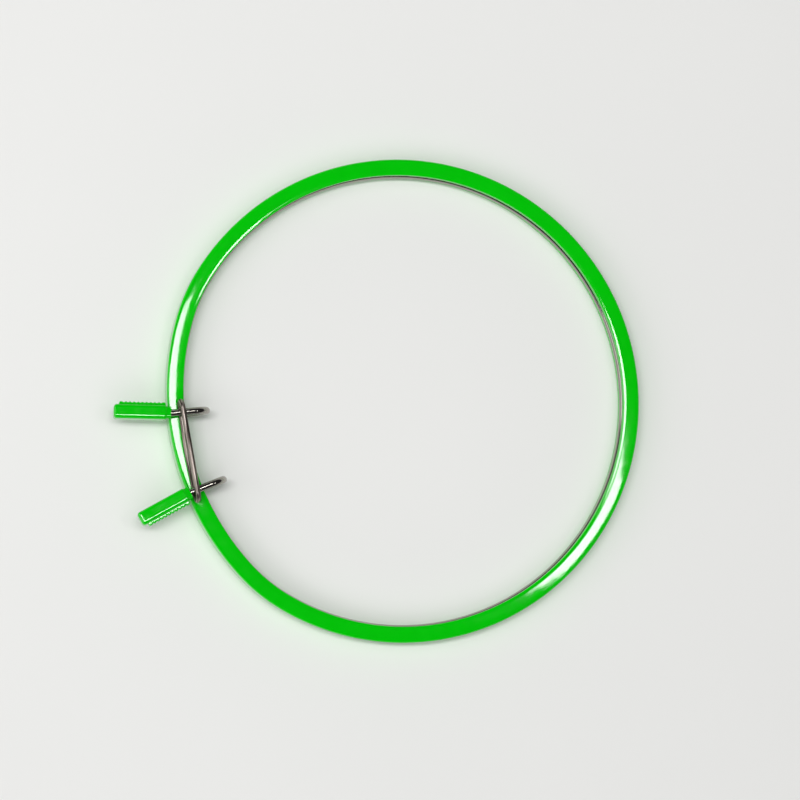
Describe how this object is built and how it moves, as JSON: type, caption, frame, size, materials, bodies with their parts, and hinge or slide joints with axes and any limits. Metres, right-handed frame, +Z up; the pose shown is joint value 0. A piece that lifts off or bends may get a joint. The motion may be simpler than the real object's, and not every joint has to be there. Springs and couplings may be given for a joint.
{
  "type": "embroidery hoop",
  "caption": "Round spring-tension embroidery hoop: a grooved plastic ring, a sprung wire ring that snaps into it, hairpin handles with plastic grips and a wire link.",
  "frame": {"origin": "centre of the outer ring, on the plane that the ring lies on", "axes": "+Z up, out of the side that the handles are on; the handles point along -X, one on each side of the XZ plane, left on +Y and right on -Y"},
  "size_m": [0.1964, 0.18, 0.017],
  "materials": {
    "green_plastic": "glossy, bright green, moulded",
    "spring_steel": "bright nickel plate on round spring wire",
    "link_steel": "darker drawn steel wire"
  },
  "bodies": {
    "ring": {"outer_ring": "green_plastic", "spring_back": "spring_steel"},
    "rear_left": {"spring_rear_left": "spring_steel"},
    "side_left": {"spring_side_left": "spring_steel"},
    "handle_left": {"spring_handle_left": "spring_steel", "grip_left": "green_plastic"},
    "rear_right": {"spring_rear_right": "spring_steel"},
    "side_right": {"spring_side_right": "spring_steel"},
    "handle_right": {"spring_handle_right": "spring_steel", "grip_right": "green_plastic"},
    "link": {"link": "link_steel"}
  },
  "joints": [
    {"name": "squeeze", "type": "hinge", "parent": "ring", "child": "rear_left", "pos_m": [0.07837, 0.02852, 0.00475], "axis": [0, 0, 1], "range_deg": [0, 2.2], "stiffness_Nm_per_rad": 39, "springref_deg": -3.44},
    {"name": "bend_side_left", "type": "hinge", "parent": "rear_left", "child": "side_left", "pos_m": [0.02852, 0.07837, 0.00475], "axis": [0, 0, 1], "range_deg": [0, 2.2]},
    {"name": "bend_handle_left", "type": "hinge", "parent": "side_left", "child": "handle_left", "pos_m": [-0.0417, 0.07223, 0.00475], "axis": [0, 0, 1], "range_deg": [0, 2.2]},
    {"name": "bend_rear_right", "type": "hinge", "parent": "ring", "child": "rear_right", "pos_m": [0.07837, -0.02852, 0.00475], "axis": [0, 0, -1], "range_deg": [0, 2.2]},
    {"name": "bend_side_right", "type": "hinge", "parent": "rear_right", "child": "side_right", "pos_m": [0.02852, -0.07837, 0.00475], "axis": [0, 0, -1], "range_deg": [0, 2.2]},
    {"name": "bend_handle_right", "type": "hinge", "parent": "side_right", "child": "handle_right", "pos_m": [-0.0417, -0.07223, 0.00475], "axis": [0, 0, -1], "range_deg": [0, 2.2]},
    {"name": "link_slide", "type": "slide", "parent": "handle_left", "child": "link", "axis": [0.9903, -0.1392, 0], "range_m": [0, 0.0022]}
  ],
  "couplings": [
    {"joint": "bend_side_left", "follows": "squeeze", "ratio": 1},
    {"joint": "bend_handle_left", "follows": "squeeze", "ratio": 1},
    {"joint": "bend_rear_right", "follows": "squeeze", "ratio": 1},
    {"joint": "bend_side_right", "follows": "squeeze", "ratio": 1},
    {"joint": "bend_handle_right", "follows": "squeeze", "ratio": 1}
  ]
}
